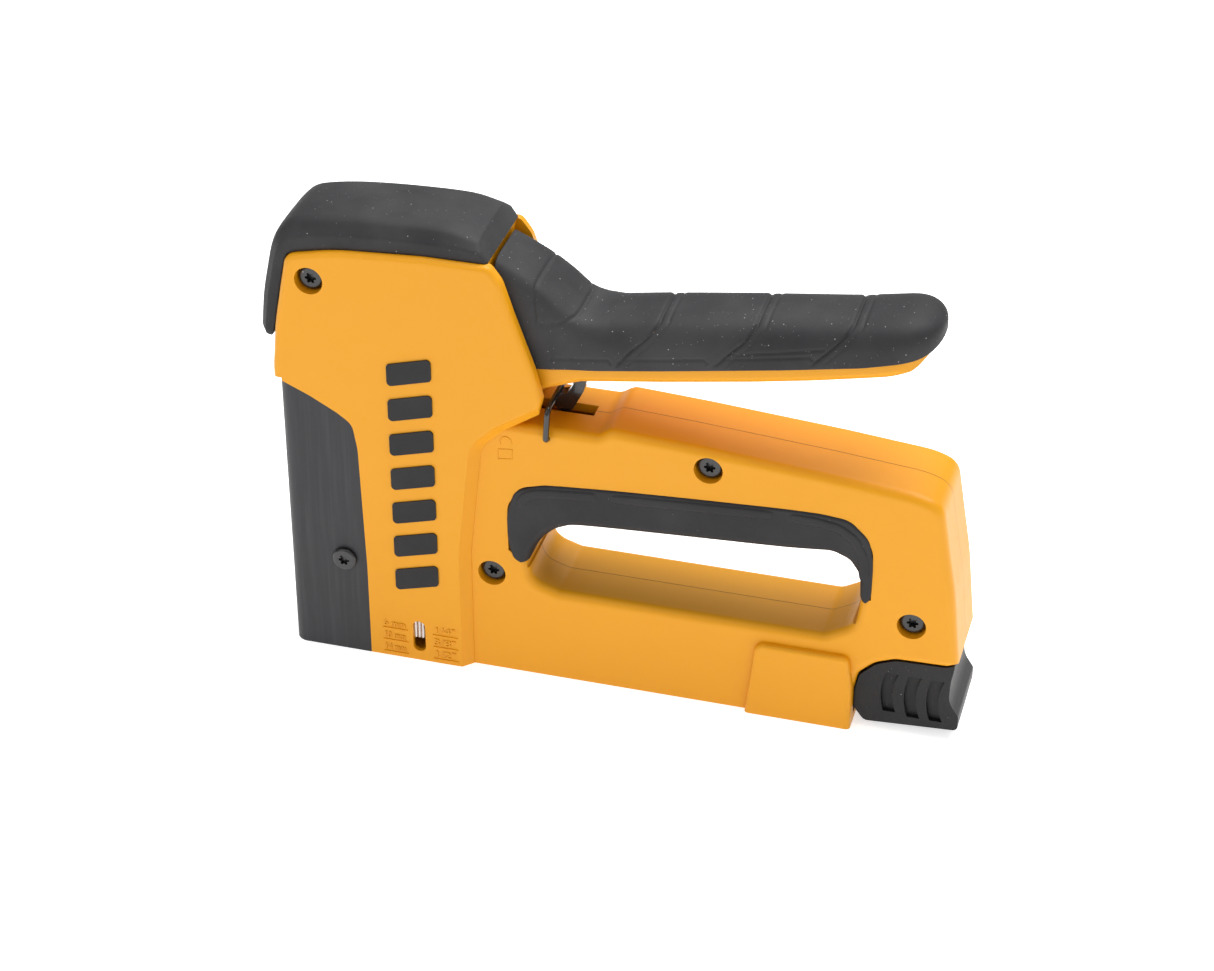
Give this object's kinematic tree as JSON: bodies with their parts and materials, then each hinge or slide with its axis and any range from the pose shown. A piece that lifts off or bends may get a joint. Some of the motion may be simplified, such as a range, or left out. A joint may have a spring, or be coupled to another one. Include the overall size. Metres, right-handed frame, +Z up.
{
  "type": "hand staple gun",
  "caption": "Hand staple gun: yellow two-shell body with finger hole, black rubber squeeze lever and top bumper, steel nose plate, wire lever lock and pull-out magazine knob.",
  "frame": {"origin": "middle of the base, under the middle of the overall box", "axes": "+Z up, +X from the nose towards the rear of the handle, +Y to the right side of someone holding it nose first"},
  "size_m": [0.2026, 0.036, 0.1419],
  "materials": {
    "body_yellow": "satin",
    "blued_steel": "satin",
    "black_rubber": "matte",
    "soft_black": "matte",
    "steel": "satin",
    "spring_steel": "satin",
    "zinc_wire": "satin",
    "black_screw": "satin",
    "gloss_black_steel": "gloss",
    "bright_rivet": "polished",
    "bronze": "satin",
    "knob_plastic": "matte",
    "pusher_plastic": "satin"
  },
  "bodies": {
    "housing": {"left_housing": "body_yellow", "right_housing": "body_yellow", "nose_plate": "blued_steel", "top_bumper": "black_rubber", "side_inlays": "black_rubber", "finger_grip": "soft_black", "lever_pivot_pin": "steel", "return_spring": "spring_steel", "power_spring": "spring_steel", "spring_seat": "steel", "impact_bumper": "black_rubber", "driver_guide": "steel", "magazine_channel": "steel", "magazine_rail": "steel", "staple_strip": "zinc_wire", "housing_screws": "black_screw", "nose_screws": "black_screw"},
    "lever": {"lever_core": "body_yellow", "lever_grip": "soft_black", "lever_frame": "steel", "catch_plate": "gloss_black_steel", "catch_rivets": "bright_rivet", "lever_rivets": "bright_rivet", "roller_pin": "steel", "pivot_bush": "bronze"},
    "roller": {"lifter_roller": "steel"},
    "plunger": {"plunger": "steel", "driver_blade": "steel", "blade_rivets": "bright_rivet"},
    "bail": {"lock_bail": "gloss_black_steel"},
    "knob": {"end_knob": "knob_plastic", "pusher_rod": "steel", "rod_pin": "steel", "pusher_spring": "spring_steel"},
    "pusher": {"pusher_block": "pusher_plastic"}
  },
  "joints": [
    {"name": "lever_squeeze", "type": "hinge", "parent": "housing", "child": "lever", "pos_m": [-0.0289, 0, 0.0988], "axis": [0, 1, 0], "range_deg": [0, 16.5], "stiffness_Nm_per_rad": 0.8, "springref_deg": -22.92, "deforming": ["return_spring"]},
    {"name": "roller_spin", "type": "hinge", "parent": "lever", "child": "roller", "pos_m": [-0.07739, 0, 0.09177], "axis": [0, 1, 0], "continuous": true},
    {"name": "plunger_lift", "type": "slide", "parent": "housing", "child": "plunger", "axis": [0, 0, 1], "range_m": [0, 0.01411], "stiffness_N_per_m": 250, "springref_m": -0.01, "deforming": ["power_spring"]},
    {"name": "bail_swing", "type": "hinge", "parent": "housing", "child": "bail", "pos_m": [-0.0178, 0, 0.081], "axis": [0, 1, 0], "range_deg": [0, 7]},
    {"name": "knob_pull", "type": "slide", "parent": "housing", "child": "knob", "axis": [1, 0, 0], "range_m": [0, 0.11]},
    {"name": "pusher_slide", "type": "slide", "parent": "knob", "child": "pusher", "axis": [1, 0, 0], "range_m": [0, 0.065], "stiffness_N_per_m": 60, "springref_m": -0.05, "deforming": ["pusher_spring"]}
  ],
  "couplings": [
    {"joint": "plunger_lift", "follows": "lever_squeeze", "m_per_rad": 0.04883}
  ]
}
